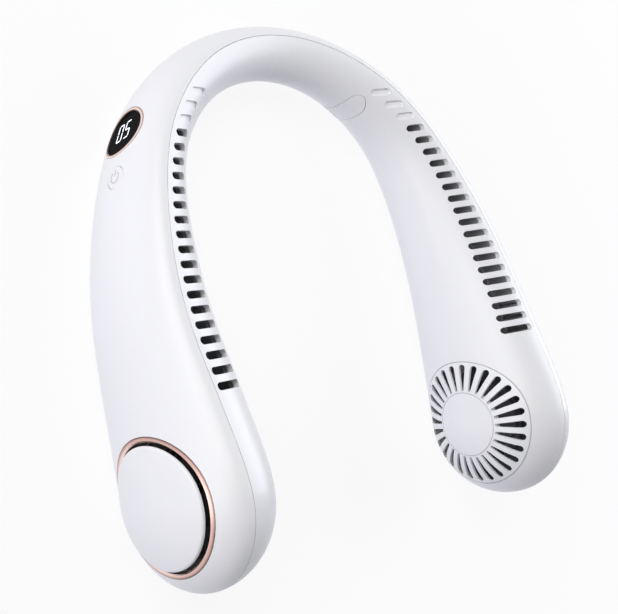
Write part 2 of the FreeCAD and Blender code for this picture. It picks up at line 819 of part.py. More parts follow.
# Scroll of the blower: spiral chamber that opens into the arm
def scroll_outline(grow, level):
    """Closed outline of the chamber: spiral, straight roof to the mouth, tongue."""
    points = []
    steps = 20
    for k in range(steps + 1):
        share = k / steps
        turn = math.radians(SCROLL_START_ANGLE + (SCROLL_END_ANGLE - SCROLL_START_ANGLE) * share)
        r = SCROLL_START_RADIUS + (SCROLL_END_RADIUS - SCROLL_START_RADIUS) * share + grow
        points.append(Vector(r * math.cos(turn), -r * math.sin(turn), level))
    spiral = Part.BSplineCurve()
    spiral.interpolate(points)
    fall = math.tan(math.radians(SCROLL_END_ANGLE - 450.0))
    roof = points[-1]
    start = points[0]
    mouth_x = -SCROLL_MOUTH
    mouth_top = Vector(mouth_x, roof.y + (roof.x - mouth_x) * fall, level)
    mouth_low = Vector(mouth_x, start.y + grow, level)
    corner = Vector(start.x - 0.5, start.y + grow, level)
    edges = [spiral.toShape()]
    path = (roof, mouth_top, mouth_low, corner, start)
    for a, b in zip(path, path[1:]):
        edges.append(Part.makeLine(a, b))
    return Part.Face(Part.Wire(edges))


scroll = scroll_outline(SCROLL_WALL, SCROLL_OPEN_END).extrude(Vector(0, 0, FLOOR_TOP - SCROLL_OPEN_END))
chamber = scroll_outline(0.0, SCROLL_OPEN_END).extrude(Vector(0, 0, floor_under - SCROLL_OPEN_END))
mouth_ends = (-SCROLL_MOUTH - 1.0, -SCROLL_MOUTH + 2.5)
chamber_mouth = block(*mouth_ends, SCROLL_MOUTH_TOP, SCROLL_MOUTH_LOW, SCROLL_OPEN_END, floor_under)
window = tube(WINDOW_OUTER, WINDOW_INNER, floor_under - 1.0, FLOOR_TOP + 1.0)
spoke = block(0.0, 30.0, -0.5 * SPOKE_WIDTH, 0.5 * SPOKE_WIDTH, floor_under - 2.0, FLOOR_TOP + 2.0)
window = window.cut(polar(spoke, 3))
bearing_tube = cylinder(TUBE_RADIUS, TUBE_END, floor_under + 0.5)
bearing_bore = cylinder(BEARING_RADIUS, TUBE_END - 1.0, floor_under)
scroll = scroll.cut([chamber, chamber_mouth, window])
scroll = scroll.fuse(bearing_tube).cut([bearing_bore] + polar(screw_hole, 3))
save_pair("scroll", pod(scroll))

cover_plate = scroll_outline(SCROLL_WALL, SCROLL_OPEN_END - SCROLL_WALL).extrude(Vector(0, 0, SCROLL_WALL))
cover_plate = cover_plate.cut(cylinder(INLET_RADIUS, -30.0, 0.0))
inlet_lip = tube(INLET_RADIUS + 1.0, INLET_RADIUS, SCROLL_OPEN_END - SCROLL_WALL - 1.2, SCROLL_OPEN_END - 0.5)
save_pair("scroll_cover", pod(cover_plate.fuse(inlet_lip)))


# Impeller: hub cup, middle plate, two end rings and curved blades
cup_inner = CUP_RADIUS - CUP_WALL
cup = cylinder(CUP_RADIUS, CUP_END, IMPELLER_TOP).cut(cylinder(cup_inner, CUP_END + CUP_WALL, 30.0))
hub = cylinder(2.4, CUP_END, CUP_END + CUP_WALL + 0.4)
middle = tube(IMPELLER_RADIUS, CUP_RADIUS - 0.3, MIDPLATE_LOW, MIDPLATE_HIGH)
ring_low = tube(IMPELLER_RADIUS, IMPELLER_RADIUS - 1.2, IMPELLER_END, IMPELLER_END + 0.8)
ring_high = tube(IMPELLER_RADIUS, IMPELLER_RADIUS - 1.2, IMPELLER_TOP - 0.8, IMPELLER_TOP)


def blade_point(radius, lean, side):
    turn = math.radians(lean)
    shift = 0.5 * BLADE_WALL * side
    x = radius * math.cos(turn) - shift * math.sin(turn)
    y = radius * math.sin(turn) + shift * math.cos(turn)
    return Vector(x, y, IMPELLER_END)


blade_tip = IMPELLER_RADIUS - 0.15
blade_mid = 0.5 * (BLADE_ROOT + blade_tip)
blade_line = ((BLADE_ROOT, 0.0), (blade_mid, BLADE_MID_LEAN), (blade_tip, BLADE_LEAN))
front = [blade_point(r, lean, 1) for r, lean in blade_line]
back = [blade_point(r, lean, -1) for r, lean in blade_line]
blade_edges = [
    Part.Arc(front[0], front[1], front[2]).toShape(),
    Part.makeLine(front[2], back[2]),
    Part.Arc(back[2], back[1], back[0]).toShape(),
    Part.makeLine(back[0], front[0]),
]
blade = Part.Face(Part.Wire(blade_edges)).extrude(Vector(0, 0, IMPELLER_TOP - IMPELLER_END))
impeller = cup.fuse([hub, middle, ring_low, ring_high] + polar(blade, BLADE_COUNT))
impeller = impeller.cut(cylinder(SHAFT_RADIUS, -30.0, 30.0))
save_pair("impeller", pod(impeller))


# Motor: magnet ring in the cup, shaft, sleeve bearing, stator and coils on the tube
magnet = tube(cup_inner, cup_inner - MAGNET_WALL, -STATOR_HALF - 0.3, STATOR_HALF + 0.3)
shaft = cylinder(SHAFT_RADIUS, CUP_END, floor_under - 0.1)
bearing = tube(BEARING_RADIUS, SHAFT_RADIUS + SHAFT_FIT, TUBE_END, floor_under)
pole = block(TUBE_RADIUS + 0.6, STATOR_RADIUS - 0.9, -0.7, 0.7, -STATOR_HALF, STATOR_HALF)
shoe = tube(STATOR_RADIUS, STATOR_RADIUS - 1.1, -STATOR_HALF, STATOR_HALF)
shoe = shoe.common(block(0.0, 30.0, -2.7, 2.7, -5.0, 5.0))
core = tube(TUBE_RADIUS + 1.2, TUBE_RADIUS + SHAFT_FIT, -STATOR_HALF, STATOR_HALF)
stator = core.fuse(polar(pole.fuse(shoe), STATOR_POLES))
coil = block(TUBE_RADIUS + 1.9, STATOR_RADIUS - 1.35, -1.25, 1.25, -COIL_HALF, COIL_HALF)
coil = coil.cut(block(0.0, 30.0, -0.72, 0.72, -STATOR_HALF - 0.02, STATOR_HALF + 0.02))
save_pair("rotor_magnet", pod(magnet))
save_pair("motor_shaft", pod(shaft))
save_pair("bearing", pod(bearing))
save_pair("stator", pod(stator))
save_pair("coils", pod(Part.makeCompound(polar(coil, STATOR_POLES))))


# Air duct: a closed channel behind the slots with its own slots in the roof
def channel_wire(s, inset, side_gap, floor):
    """Section of the channel: neck-side skin arc, floor and upright wall."""
    height = height_at(s)
    half = 0.5 * height - inset
    depth = depth_at(s, -1) - inset
    start = math.asin(side_gap / depth)
    end = math.acos((floor - 0.5 * height) / half)
    points = []
    for k in range(9):
        turn = start + (end - start) * k / 8.0
        points.append(point_at(s, -depth * math.sin(turn), 0.5 * height + half * math.cos(turn)))
    arc = Part.BSplineCurve()
    arc.interpolate(points)
    corner = point_at(s, -side_gap, floor)
    return Part.Wire([arc.toShape(), Part.makeLine(points[-1], corner), Part.makeLine(corner, points[0])])


def channel(inset, side_gap, lift, start, end):
    wires = []
    count = 11
    for k in range(count + 1):
        s = start + (end - start) * k / count
        wires.append(channel_wire(s, inset, side_gap, DUCT_FLOOR_SHARE * height_at(s) + lift))
    return Part.makeLoft(wires, True, False)


duct_end = PATH_LENGTH - SCROLL_MOUTH - 0.2
duct_inset = WALL + DUCT_GAP
duct = channel(duct_inset, DUCT_SIDE, 0.0, DUCT_FROM, duct_end)
duct_room = channel(
    duct_inset + DUCT_WALL, DUCT_SIDE + DUCT_WALL, DUCT_WALL, DUCT_FROM + DUCT_WALL, duct_end + 0.6
)
duct = duct.cut(duct_room).cut(slot_cutters(SLOT_BLIND, SLOT_BLIND + SLOT_OPEN, 0.3, 6.5))
save_pair("air_duct", duct)


# Wiring along the lower edge from each pod to the charge board
def harness(points):
    curve = Part.BSplineCurve()
    curve.interpolate(points)
    path = Part.Wire([curve.toShape()])
    start = curve.value(curve.FirstParameter)
    direction = curve.tangent(curve.FirstParameter)[0]
    ring_wire = Part.Wire([Part.makeCircle(WIRE_RADIUS, start, direction)])
    return path.makePipeShell([ring_wire], True, True)


wire_z = WALL + WIRE_RADIUS + 0.2


def floor_run(start, end, count):
    return [point_at(start + (end - start) * k / count, WIRE_W, wire_z) for k in range(count + 1)]


pod_rise = [
    point_at(168.0, -0.3, wire_z + 0.2),
    point_at(174.0, 1.2, wire_z + 3.0),
    point_at(177.5, 3.0, 13.5),
    point_at(179.0, 3.8, 22.0),
]
left_rise = [Vector(-p.x, p.y, p.z) for p in reversed(pod_rise)]
board_station = PORT_STATION + board_x
right_run = floor_run(board_station + BOARD_WALL + 0.2, 160.0, 9) + pod_rise
left_run = left_rise + floor_run(-160.0, board_station - 0.2, 17)
save("right_harness", harness(right_run))
save("left_harness", harness(left_run))
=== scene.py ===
"""Looks of the electric neck fan: its finishes, the prints on its display and button, and the studio."""
import json
import math

import bmesh
import bpy
from mathutils import Matrix, Vector
from mathutils.bvhtree import BVHTree


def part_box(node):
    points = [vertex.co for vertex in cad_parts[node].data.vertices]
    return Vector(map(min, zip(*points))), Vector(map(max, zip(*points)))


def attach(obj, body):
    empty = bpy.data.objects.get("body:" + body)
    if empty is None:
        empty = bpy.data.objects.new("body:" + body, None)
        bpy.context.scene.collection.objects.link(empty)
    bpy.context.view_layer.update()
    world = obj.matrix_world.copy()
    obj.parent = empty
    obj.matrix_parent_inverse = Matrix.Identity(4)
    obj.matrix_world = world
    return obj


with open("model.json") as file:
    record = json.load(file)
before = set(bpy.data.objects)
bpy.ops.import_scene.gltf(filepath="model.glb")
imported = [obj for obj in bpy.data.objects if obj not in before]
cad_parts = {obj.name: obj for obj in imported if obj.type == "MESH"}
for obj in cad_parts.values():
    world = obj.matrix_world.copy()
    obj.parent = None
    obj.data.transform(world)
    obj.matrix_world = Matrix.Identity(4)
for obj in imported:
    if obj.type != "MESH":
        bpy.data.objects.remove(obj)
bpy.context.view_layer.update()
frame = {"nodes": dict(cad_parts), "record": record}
nodes = frame["nodes"]
joints = {joint["name"]: joint for joint in frame["record"]["behaviour"]["joints"]}

MM = 0.001
UP = Vector((0, 0, 1))
WHITE = (1, 1, 1)

# Parting line of the casing seen from above: an arc round the back of the neck, a flatter arc, a straight run
BACK_Y = 90.42 * MM
BACK_RADIUS = 77.35 * MM
BACK_ANGLE = math.radians(65.7)
SIDE_RADIUS = 150.0 * MM
END_ANGLE = math.radians(91.6)

# Length of the parting line from the back of the neck to the display on the left arm
DISPLAY_STATION = 78.8 * MM


def outward_at(angle):
    """Outward direction of the parting line where it has turned by an angle."""
    return Vector((math.sin(angle), math.cos(angle)))


def mirrored(place):
    """The same place or direction on the other side of the fan."""
    return Vector((-place.x, place.y, place.z))


# Places and directions on the part
pod_centre = Vector(joints["right_impeller_spin"]["pos_m"])
pod_axis = Vector(joints["right_impeller_spin"]["axis"])
button_outward = -Vector(joints["power_button_press"]["axis"])
display_outward = mirrored(outward_at(DISPLAY_STATION / BACK_RADIUS).to_3d())
display_centre = 0.5 * sum(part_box("display_bezel"), Vector())

# Sockets of the Mix node that take and give colours
MIX_FIRST = 6
MIX_SECOND = 7
MIX_RESULT = 2


# Shader arithmetic
class Signal:
    """One output of a node tree; sums, products and comparisons of signals add Math nodes."""

    def __init__(self, finish, output):
        self.finish = finish
        self.output = output

    def beside(self, output):
        """Another output of the same node."""
        return Signal(self.finish, self.output.node.outputs[output])

    def __add__(self, other):
        return self.finish.maths("ADD", self, other)

    def __radd__(self, other):
        return self.finish.maths("ADD", other, self)

    def __sub__(self, other):
        return self.finish.maths("SUBTRACT", self, other)

    def __rsub__(self, other):
        return self.finish.maths("SUBTRACT", other, self)

    def __mul__(self, other):
        return self.finish.maths("MULTIPLY", self, other)

    def __rmul__(self, other):
        return self.finish.maths("MULTIPLY", other, self)

    def __pow__(self, other):
        return self.finish.maths("POWER", self, other)

    def __abs__(self):
        return self.finish.maths("ABSOLUTE", self)

    def __gt__(self, other):
        return self.finish.maths("GREATER_THAN", self, other)

    def __lt__(self, other):
        return self.finish.maths("LESS_THAN", self, other)


def between(share, first, last):
    """Number between two levels."""
    return first + (last - first) * share


class Finish:
    """A material and the nodes that make it. Scales of patterns are in repeats per metre."""

    def __init__(self, name, **constants):
        self.material = bpy.data.materials.new(name)
        self.material.use_nodes = True
        self.tree = self.material.node_tree
        self.shader = self.tree.nodes["Principled BSDF"]
        for socket, value in constants.items():
            self.shader.inputs[socket.replace("_", " ")].default_value = value

    def feed(self, socket, value):
        """Links a signal to a socket, or sets its value."""
        if isinstance(value, Signal):
            self.tree.links.new(value.output, socket)
        else:
            socket.default_value = value

    def drive(self, socket, signal):
        """Links a signal to a socket of the main shader."""
        self.feed(self.shader.inputs[socket], signal)

    def node(self, kind, settings=None, sockets=None, output=0):
        """Adds a node: its settings first, then the values or links of its sockets."""
        made = self.tree.nodes.new(kind)
        for name, value in (settings or {}).items():
            setattr(made, name, value)
        for name, value in (sockets or {}).items():
            self.feed(made.inputs[name], value)
        return Signal(self, made.outputs[output])

    def maths(self, operation, *values):
        return self.node("ShaderNodeMath", {"operation": operation}, dict(enumerate(values)))

    def vectors(self, operation, *values, output="Value"):
        return self.node("ShaderNodeVectorMath", {"operation": operation}, dict(enumerate(values)), output)

    def ramp(self, value, start, end, first=0.0, last=1.0):
        """Goes from the first level to the last while a value goes from start to end."""
        return self.node("ShaderNodeMapRange", {}, dict(enumerate((value, start, end, first, last))))

    def tint(self, share, first, second):
        """Colour between two tones, each a colour or a signal."""
        ends = [tone if isinstance(tone, Signal) else (*tone, 1) for tone in (first, second)]
        sockets = {"Factor": share, MIX_FIRST: ends[0], MIX_SECOND: ends[1]}
        return self.node("ShaderNodeMix", {"data_type": "RGBA"}, sockets, MIX_RESULT)

    def tones(self, share, stops):
        """Colour on a ramp of tones, each with its place."""
        made = self.node("ShaderNodeValToRGB", {}, {0: share})
        elements = made.output.node.color_ramp.elements
        while len(elements) < len(stops):
            elements.new(1.0)
        for element, (place, colour) in zip(elements, stops):
            element.position = place
            element.color = (*colour, 1)
        return made

    def place(self):
        return self.node("ShaderNodeTexCoord", output="Object")

    def noise(self, scale, detail=2.0, roughness=0.5):
        sockets = {"Vector": self.place(), "Scale": scale, "Detail": detail, "Roughness": roughness}
        return self.node("ShaderNodeTexNoise", {}, sockets, "Fac")

    def bump(self, height, strength, distance):
        sockets = {"Height": height, "Strength": strength, "Distance": distance}
        self.drive("Normal", self.node("ShaderNodeBump", {}, sockets))

    def folded_place(self):
        """Coordinates, with the left side folded onto the right."""
        x = self.node("ShaderNodeSeparateXYZ", {}, {0: self.place()})
        return abs(x), x.beside(1), x.beside(2)

    def radius_about(self, centre, axis):
        """Distance from an axis on the right side, or from its mirror image on the left."""
        folded = self.node("ShaderNodeCombineXYZ", {}, dict(enumerate(self.folded_place())))
        offset = self.vectors("SUBTRACT", folded, centre, output=0)
        along = self.vectors("DOT_PRODUCT", offset, axis)
        reach = self.vectors("LENGTH", offset)
        return (reach * reach - along * along) ** 0.5


# Moulded plastic
CLOUD_SCALE = 28.0
CLOUD_DETAIL = 3.0
GRAIN_DETAIL = 2.0
GRAIN_ROUGHNESS = 0.6
GRAIN_GLOSS = 0.04
GRAIN_BUMP = 0.25


def plastic(finish, light, dark, roughness, grain, depth):
    """Colour and roughness of plastic: two close tones in soft clouds, and a fine mould grain."""
    clouds = finish.noise(CLOUD_SCALE, CLOUD_DETAIL)
    fine = finish.noise(grain, GRAIN_DETAIL, GRAIN_ROUGHNESS)
    finish.bump(fine, GRAIN_BUMP, depth)
    gloss = between(fine, roughness - GRAIN_GLOSS, roughness + GRAIN_GLOSS)
    return finish.tint(clouds, dark, light), gloss


def moulded(name, **look):
    """Plain moulded plastic."""
    finish = Finish(name)
    colour, gloss = plastic(finish, **look)
    finish.drive("Base Color", colour)
    finish.drive("Roughness", gloss)
    return finish.material


SHELL_LOOK = {
    "light": (0.876, 0.876, 0.888),
    "dark": (0.861, 0.861, 0.873),
    "roughness": 0.34,
    "grain": 2600.0,
    "depth": 0.01 * MM,
}
white_abs = moulded("white_abs", **SHELL_LOOK)
charcoal_moulding = moulded(
    "charcoal_moulding",
    light=(0.05, 0.052, 0.058),
    dark=(0.038, 0.04, 0.045),
    roughness=0.5,
    grain=1800.0,
    depth=0.02 * MM,
)
impeller_grey = moulded(
    "impeller_grey",
    light=(0.14, 0.144, 0.155),
    dark=(0.1, 0.104, 0.112),
    roughness=0.45,
    grain=1800.0,
    depth=0.02 * MM,
)
duct_grey = moulded(
    "duct_grey",
    light=(0.36, 0.364, 0.38),
    dark=(0.32, 0.324, 0.338),
    roughness=0.55,
    grain=1800.0,
    depth=0.02 * MM,
)
white_silicone = moulded(
    "white_silicone",
    light=(0.872, 0.872, 0.884),
    dark=(0.857, 0.857, 0.869),
    roughness=0.42,
    grain=3200.0,
    depth=0.02 * MM,
)
wire_jacket = moulded(
    "wire_jacket",
    light=(0.035, 0.035, 0.038),
    dark=(0.025, 0.025, 0.028),
    roughness=0.55,
    grain=2400.0,
    depth=0.02 * MM,
)
cell_sleeve_blue = moulded(
    "cell_sleeve_blue",
    light=(0.05, 0.2, 0.46),
    dark=(0.04, 0.16, 0.38),
    roughness=0.38,
    grain=900.0,
    depth=0.03 * MM,
)
printed_grey = moulded(
    "printed_grey",
    light=(0.6, 0.6, 0.62),
    dark=(0.56, 0.56, 0.58),
    roughness=0.5,
    grain=2600.0,
    depth=0.01 * MM,
)

# Joint lines on white plastic, dust and painted shadow of the narrow gaps: half widths, and radii of the
# joints about a pod axis
PARTING_LINE = 0.09 * MM
GRILLE_LINE = 0.12 * MM
CAP_JOINT = 12.51 * MM
GRILLE_JOINT = 24.55 * MM
JOINT_GREY = (0.32, 0.32, 0.35)
DUST_AND_SHADE_SHARE = 0.55
DUST_ROUGHNESS = 0.2


def parting_offset(finish):
    """Distance outside the casing's parting line."""
    x, y, _ = finish.folded_place()
    side_normal = outward_at(BACK_ANGLE)
    run_normal = outward_at(END_ANGLE)
    back_centre = Vector((0, BACK_Y - BACK_RADIUS))
    side_start = back_centre + BACK_RADIUS * side_normal
    side_centre = side_start - SIDE_RADIUS * side_normal
    run_start = side_centre + SIDE_RADIUS * run_normal

    def outside_arc(centre, radius):
        across = x - centre.x
        along = y - centre.y
        return (across * across + along * along) ** 0.5 - radius

    def beyond(start, direction):
        return (x - start.x) * direction.x + (y - start.y) * direction.y

    back = outside_arc(back_centre, BACK_RADIUS)
    side = outside_arc(side_centre, SIDE_RADIUS)
    run = beyond(run_start, run_normal)
    past_back = beyond(side_start, Vector((side_normal.y, -side_normal.x))) > 0.0
    past_side = beyond(run_start, Vector((run_normal.y, -run_normal.x))) > 0.0
    return back + past_back * (side - back) + past_side * (run - side)


def casing_joints(finish):
    return [parting_offset(finish)]


def pod_joints(finish):
    """Distances from the round joints of a grille and its cap."""
    radius = finish.radius_about(pod_centre, pod_axis)
    return [radius - CAP_JOINT, radius - GRILLE_JOINT]


def jointed_white(name, joint_distances, half_width):
    """Shell white with a fine grey line along each joint: dust and painted shadow of its gap."""
    finish = Finish(name)
    colour, gloss = plastic(finish, **SHELL_LOOK)
    line = 0.0
    for distance in joint_distances(finish):
        line = line + (abs(distance) < half_width)
    # Grey line along each joint: dust and painted shadow of the gap
    finish.drive("Base Color", finish.tint(DUST_AND_SHADE_SHARE * line, colour, JOINT_GREY))
    finish.drive("Roughness", gloss + DUST_ROUGHNESS * line)
    return finish.material


shell_white = jointed_white("white_abs_shell", casing_joints, PARTING_LINE)
grille_white = jointed_white("white_abs_grille", pod_joints, GRILLE_LINE)

# Rose-gold rings: places of the tones from the bore to the rim. On the ring the pale band by the bore is a
# painted reflection and the dark outer edge a painted shadow
RING_BORE = 21.4 * MM
RING_RIM = 23.15 * MM
RING_TONES = (
    (0.0, (0.97, 0.79, 0.74)),
    (0.34, (0.93, 0.69, 0.63)),
    (0.42, (0.71, 0.46, 0.41)),
    (0.72, (0.6, 0.37, 0.33)),
    (0.88, (0.22, 0.14, 0.13)),
)
# Bezel tones: a near-black inner band of painted dark reflection of the window, a pale band of painted
# highlight, and a dark outer edge of painted shadow
BEZEL_BORE = 8.7 * MM
BEZEL_RIM = 10.1 * MM
BEZEL_TONES = (
    (0.0, (0.03, 0.02, 0.018)),
    (0.26, (0.12, 0.07, 0.055)),
    (0.4, (0.88, 0.68, 0.61)),
    (0.62, (0.97, 0.84, 0.79)),
    (0.84, (0.80, 0.57, 0.50)),
    (0.95, (0.3, 0.2, 0.18)),
)
RING_ROUGHNESS = 0.16
RIM_ROUGHNESS = 0.1
WORN_TONE = (0.74, 0.51, 0.45)
WORN_SHARE = 0.25
WORN_SCALE = 160.0
WORN_DETAIL = 3.0
WORN_ROUGHNESS = 0.06
LATHE_PITCH = 0.2 * MM
LATHE_DEPTH = 0.004 * MM
LATHE_BUMP = 0.12
LATHE_ROUGHNESS = 0.015


def turned_metal(name, stops, centre, axis, bore, rim):
    """Anodised ring with fine lathe lines; its tones run by radius from bore to rim, with a deeper face
    between bands of painted reflection, painted highlight and a dark outer edge of painted shadow.
    """
    finish = Finish(name, Metallic=1.0)
    radius = finish.radius_about(centre, axis)
    across = finish.ramp(radius, bore, rim)
    lines = finish.maths("SINE", radius * (2.0 * math.pi / LATHE_PITCH))
    clouds = finish.noise(WORN_SCALE, WORN_DETAIL)
    # Colour by radius through the tones, with their painted reflection, highlight and shadow bands, and worn
    # clouds
    finish.drive("Base Color", finish.tint(WORN_SHARE * clouds, finish.tones(across, stops), WORN_TONE))
    uneven = WORN_ROUGHNESS * clouds + LATHE_ROUGHNESS * lines + RIM_ROUGHNESS * across
    finish.drive("Roughness", RING_ROUGHNESS + uneven)
    finish.bump(lines, LATHE_BUMP, LATHE_DEPTH)
    return finish.material


rose_gold_ring = turned_metal("rose_gold_ring", RING_TONES, pod_centre, pod_axis, RING_BORE, RING_RIM)
rose_gold_bezel = turned_metal(
    "rose_gold_bezel",
    BEZEL_TONES,
    mirrored(display_centre),
    mirrored(display_outward),
    BEZEL_BORE,
    BEZEL_RIM,
)

# Plain metal
METAL_DETAIL = 4.0
METAL_GRAIN_ROUGHNESS = 0.65
METAL_GLOSS = 0.12
METAL_BUMP = 0.2
METAL_DEPTH = 0.01 * MM


def plain_metal(name, light, dark, roughness, grain):
    """Drawn or sintered metal with a fine grain."""
    finish = Finish(name, Metallic=1.0)
    fine = finish.noise(grain, METAL_DETAIL, METAL_GRAIN_ROUGHNESS)
    finish.drive("Base Color", finish.tint(fine, dark, light))
    finish.drive("Roughness", between(fine, roughness, roughness + METAL_GLOSS))
    finish.bump(fine, METAL_BUMP, METAL_DEPTH)
    return finish.material


bright_steel = plain_metal(
    "bright_steel",
    light=(0.62, 0.62, 0.64),
    dark=(0.5, 0.5, 0.52),
    roughness=0.28,
    grain=1500.0,
)
sintered_bronze = plain_metal(
    "sintered_bronze",
    light=(0.62, 0.4, 0.2),
    dark=(0.42, 0.26, 0.13),
    roughness=0.4,
    grain=5200.0,
)
dark_magnet_iron = plain_metal(
    "dark_magnet_iron",
    light=(0.14, 0.14, 0.15),
    dark=(0.09, 0.09, 0.1),
    roughness=0.5,
    grain=3600.0,
)


# Wire, boards and display
def wound_copper():
    """Enamelled wire: close parallel turns."""
    finish = Finish("copper_winding", Metallic=1.0, Coat_Weight=0.5)
    sockets = {"Vector": finish.place(), "Scale": 900.0, "Distortion": 0.4}
    turns = finish.node("ShaderNodeTexWave", {"bands_direction": "DIAGONAL"}, sockets, "Fac")
    finish.drive("Base Color", finish.tint(turns, (0.36, 0.14, 0.06), (0.78, 0.38, 0.2)))
    finish.drive("Roughness", between(turns, 0.42, 0.28))
    finish.bump(turns, strength=0.5, distance=0.05 * MM)
    return finish.material


TRACK_GAP = 0.06


def circuit_board():
    """Solder mask over copper tracks, with dark gaps between their blocks."""
    finish = Finish("solder_mask_green", Coat_Weight=0.3)
    sockets = {"Vector": finish.place(), "Scale": 420.0}
    settings = {"feature": "DISTANCE_TO_EDGE", "distance": "EUCLIDEAN"}
    tracks = finish.node("ShaderNodeTexVoronoi", settings, sockets, "Distance") > TRACK_GAP
    finish.drive("Base Color", finish.tint(tracks, (0.01, 0.07, 0.03), (0.02, 0.15, 0.06)))
    finish.drive("Roughness", between(tracks, 0.4, 0.32))
    finish.bump(tracks, strength=0.3, distance=0.03 * MM)
    return finish.material


def smoked_window():
    """Black window with an anti-glare coat and a trace of handling marks."""
    finish = Finish("smoked_window", Specular_IOR_Level=0.006)
    marks = finish.noise(scale=220.0, detail=4.0, roughness=0.7)
    finish.drive("Base Color", finish.tint(marks, (0.0035, 0.0035, 0.004), (0.006, 0.006, 0.007)))
    finish.drive("Roughness", between(marks, 0.2, 0.28))
    return finish.material


def display_light():
    """Lit bars of the digits."""
    finish = Finish("display_light", Roughness=0.4, Emission_Strength=1.0)
    glow = finish.noise(scale=900.0, detail=1.0)
    finish.drive("Base Color", finish.tint(glow, (0.75, 0.77, 0.8), (0.8, 0.82, 0.85)))
    finish.drive("Emission Color", finish.tint(glow, (0.82, 0.85, 0.9), (0.9, 0.92, 0.95)))
    return finish.material


display_white = display_light()

# Finish of each material slot, and of the nodes that differ from their slot
SLOT_FINISHES = {
    "white_shell": white_abs,
    "black_plastic": charcoal_moulding,
    "impeller_plastic": impeller_grey,
    "white_silicone": white_silicone,
    "wire_jacket": wire_jacket,
    "cell_sleeve": cell_sleeve_blue,
    "rose_gold": rose_gold_ring,
    "steel": bright_steel,
    "bronze": sintered_bronze,
    "magnet": dark_magnet_iron,
    "copper": wound_copper(),
    "circuit_board": circuit_board(),
    "display_glass": smoked_window(),
}
NODE_FINISHES = {
    "outer_shell": shell_white,
    "inner_shell": shell_white,
    "left_grille": grille_white,
    "right_grille": grille_white,
    "left_grille_cap": grille_white,
    "right_grille_cap": grille_white,
    "left_air_duct": duct_grey,
    "right_air_duct": duct_grey,
    "display_bezel": rose_gold_bezel,
}
for part in frame["record"]["subparts"]:
    name = part["node"]
    materials = nodes[name].data.materials
    materials.clear()
    materials.append(NODE_FINISHES.get(name, SLOT_FINISHES[part["material_slot"]]))


# Making of objects
def linked(name, data):
    """An object in the scene."""
    made = bpy.data.objects.new(name, data)
    bpy.context.scene.collection.objects.link(made)
    return made


def mesh_object(name, bm, material):
    mesh = bpy.data.meshes.new(name)
    bm.to_mesh(mesh)
    bm.free()
    mesh.materials.append(material)
    return linked(name, mesh)


# Reading on the display and mark on the button
PRINT_THICKNESS = 0.08 * MM
PRINT_STEP = 0.5 * MM
MERGE_DISTANCE = 0.001 * MM


def face_frame(node, outward, turn):
    """Frame on the outer face of a round piece: x and y on the face, turned by an angle, z outward."""
    along = UP.cross(outward)
    spots = [vertex.co for vertex in nodes[node].data.vertices]
    across = [spot.dot(along) for spot in spots]
    heights = [spot.z for spot in spots]
    level = max(spot.dot(outward) for spot in spots)
    origin = along * (0.5 * (min(across) + max(across))) + outward * level
    origin.z = 0.5 * (min(heights) + max(heights))
    axes = Matrix((along, UP, outward)).transposed().to_4x4()
    return Matrix.Translation(origin) @ axes @ Matrix.Rotation(turn, 4, "Z")


def printed(name, bm, material, body):
    """Makes a print of a bmesh that is in its place."""
    bmesh.ops.remove_doubles(bm, verts=bm.verts, dist=MERGE_DISTANCE)
    bmesh.ops.recalc_face_normals(bm, faces=bm.faces)
    piece = mesh_object(name, bm, material)
    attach(piece, body)


DIGIT_HEIGHT = 6.6 * MM
DIGIT_WIDTH = 2.4 * MM
DIGIT_STROKE = 0.48 * MM
DIGIT_GAP = 0.12 * MM
DIGIT_PITCH = 4.1 * MM
DIGIT_SLANT = 0.12
DISPLAY_TURN = math.radians(101.0)
READING_RIGHT = -0.4 * MM
READING_UP = 1.1 * MM
BAR_CORNERS = 6

# Centre of each lamp bar in half widths and quarter heights, and whether it lies across
LAMP_BARS = {
    "top": (0, 2, True),
    "upper_left": (-1, 1, False),
    "upper_right": (1, 1, False),
    "middle": (0, 0, True),
    "lower_left": (-1, -1, False),
    "lower_right": (1, -1, False),
    "bottom": (0, -2, True),
}
ZERO_BARS = ("top", "upper_left", "upper_right", "lower_left", "lower_right", "bottom")
FIVE_BARS = ("top", "upper_left", "middle", "lower_right", "bottom")


def lamp_bar(bm, name):
    """One pointed bar of a digit."""
    x, y, lies = LAMP_BARS[name]
    reach = 0.5 * DIGIT_WIDTH if lies else 0.25 * DIGIT_HEIGHT
    made = bmesh.ops.create_circle(bm, cap_ends=True, segments=BAR_CORNERS, radius=0.5 * DIGIT_STROKE)
    stretch = reach - 0.5 * DIGIT_STROKE - DIGIT_GAP
    for vertex in made["verts"]:
        vertex.co.y += math.copysign(stretch, vertex.co.y)
    if lies:
        bmesh.ops.rotate(bm, verts=made["verts"], matrix=Matrix.Rotation(math.pi / 2, 3, "Z"))
    shift = Vector((0.5 * DIGIT_WIDTH * x, 0.25 * DIGIT_HEIGHT * y, 0))
    bmesh.ops.translate(bm, verts=made["verts"], vec=shift)


def cut_across(bm):
    """Divides flat bars into short lengths, so that they can bend over a curved face."""
    steps = round(0.5 * DIGIT_WIDTH / PRINT_STEP)
    for k in range(-steps, steps + 1):
        bmesh.ops.bisect_plane(
            bm,
            geom=bm.verts[:] + bm.edges[:] + bm.faces[:],
            plane_co=(k * PRINT_STEP, 0, 0),
            plane_no=(1, 0, 0),
        )


def laid_on(bm, node, face):
    """Moves the points of a print onto the curved face of a node, each at its own height over it."""
    outward = face.col[2].to_3d()
    origin = face.to_translation()
    mesh = nodes[node].data
    spots = [vertex.co for vertex in mesh.vertices]
    surface = BVHTree.FromPolygons(spots, [polygon.vertices for polygon in mesh.polygons])
    for vertex in bm.verts:
        height = (vertex.co - origin).dot(outward)
        under = surface.ray_cast(vertex.co + outward, -outward)[0]
        vertex.co = under + outward * height


